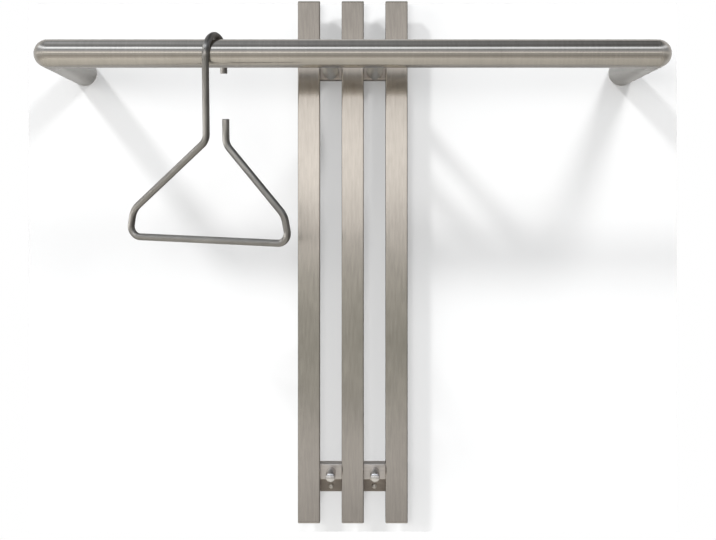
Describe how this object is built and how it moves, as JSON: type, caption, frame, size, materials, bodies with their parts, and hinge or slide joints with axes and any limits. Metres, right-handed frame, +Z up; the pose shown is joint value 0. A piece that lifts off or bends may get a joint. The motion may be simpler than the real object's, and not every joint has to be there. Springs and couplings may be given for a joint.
{
  "type": "wall coat rack",
  "caption": "Brushed steel wall coat rack: upright bars on wall brackets, a round rail with ball-cornered returns to the wall, domed pegs, and a bent-rod hanger that slides on the rail.",
  "frame": {"origin": "on the wall plane, at the height of the rail's axis, midway along the rail: the middle of the upper wall plate's back", "axes": "+X to the right along the rail as seen from the room, +Y into the wall, +Z up"},
  "size_m": [0.9, 0.2896, 0.822],
  "materials": {
    "rail_steel": "satin stainless tube, fine grain round it",
    "bar_steel": "satin stainless tube, fine grain along its length",
    "bracket_steel": "satin stainless",
    "peg_steel": "polished stainless",
    "fastener_steel": "plain stainless",
    "hanger_steel": "satin stainless rod"
  },
  "bodies": {
    "rack": {"left_bar": "bar_steel", "left_bar_bottom_cap": "bar_steel", "left_bar_top_cap": "bar_steel", "left_coat_peg": "peg_steel", "left_grub_screw": "fastener_steel", "left_peg_bolt": "fastener_steel", "left_rail_strut": "rail_steel", "left_return_tube": "rail_steel", "left_spigot_screw": "fastener_steel", "left_strut_bolt": "fastener_steel", "left_wall_spigot": "fastener_steel", "lower_cross_bar": "bracket_steel", "lower_cross_bar_left_cap": "bracket_steel", "lower_cross_bar_right_cap": "bracket_steel", "lower_left_wall_screw": "fastener_steel", "lower_right_wall_screw": "fastener_steel", "lower_wall_plate": "bracket_steel", "middle_bar": "bar_steel", "middle_bar_bottom_cap": "bar_steel", "middle_bar_top_cap": "bar_steel", "rail_tube": "rail_steel", "right_bar": "bar_steel", "right_bar_bottom_cap": "bar_steel", "right_bar_top_cap": "bar_steel", "right_coat_peg": "peg_steel", "right_grub_screw": "fastener_steel", "right_peg_bolt": "fastener_steel", "right_rail_strut": "rail_steel", "right_return_tube": "rail_steel", "right_spigot_screw": "fastener_steel", "right_strut_bolt": "fastener_steel", "right_wall_spigot": "fastener_steel", "upper_cross_bar": "bracket_steel", "upper_cross_bar_left_cap": "bracket_steel", "upper_cross_bar_right_cap": "bracket_steel", "upper_left_wall_screw": "fastener_steel", "upper_right_wall_screw": "fastener_steel", "upper_wall_plate": "bracket_steel"},
    "hanger": {"coat_hanger": "hanger_steel"}
  },
  "joints": [
    {"name": "hanger_slide", "type": "slide", "parent": "rack", "child": "hanger", "axis": [1, 0, 0], "range_m": [-0.21, 0.13]}
  ]
}
